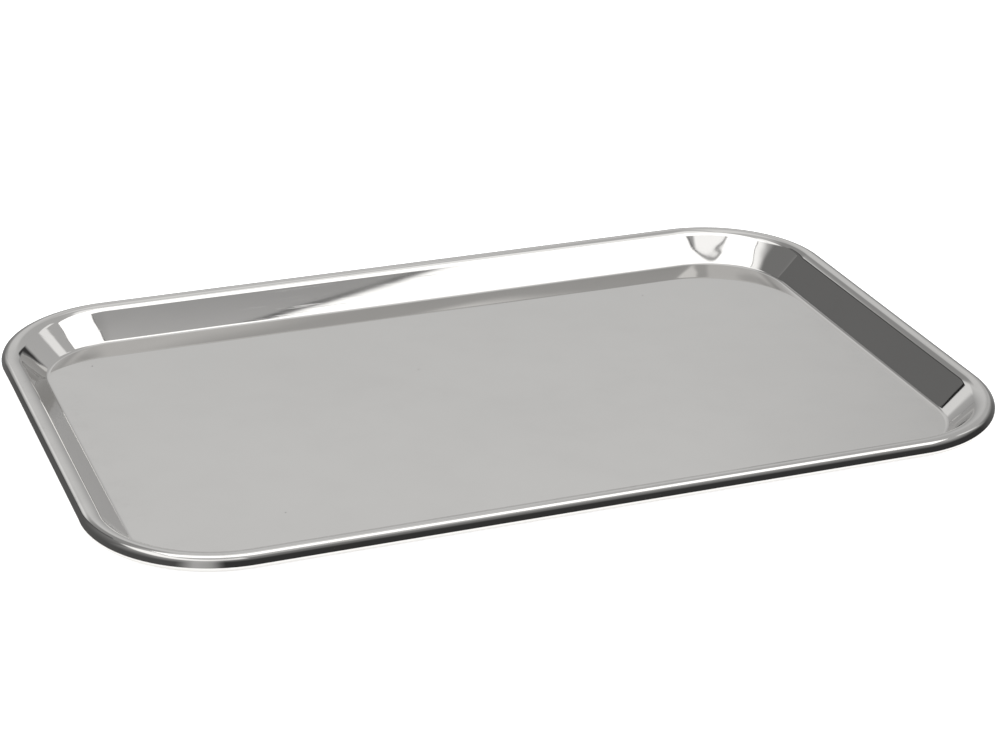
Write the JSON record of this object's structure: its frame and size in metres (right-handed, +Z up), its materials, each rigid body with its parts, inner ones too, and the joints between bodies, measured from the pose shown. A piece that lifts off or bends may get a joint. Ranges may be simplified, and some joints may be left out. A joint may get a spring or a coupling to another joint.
{
  "type": "instrument tray",
  "caption": "Shallow rectangular stainless steel tray with round corners, slanted walls and a rolled rim.",
  "frame": {"origin": "middle of the floor's underside, which is the face the tray rests on", "axes": "+X along the long side, +Y along the short side, +Z up out of the tray"},
  "size_m": [0.486, 0.321, 0.0171],
  "materials": {
    "polished_steel": "mirror-polished stainless steel sheet, with a faint satin haze on the floor"
  },
  "bodies": {
    "root": {"tray_pan": "polished_steel"}
  },
  "joints": []
}
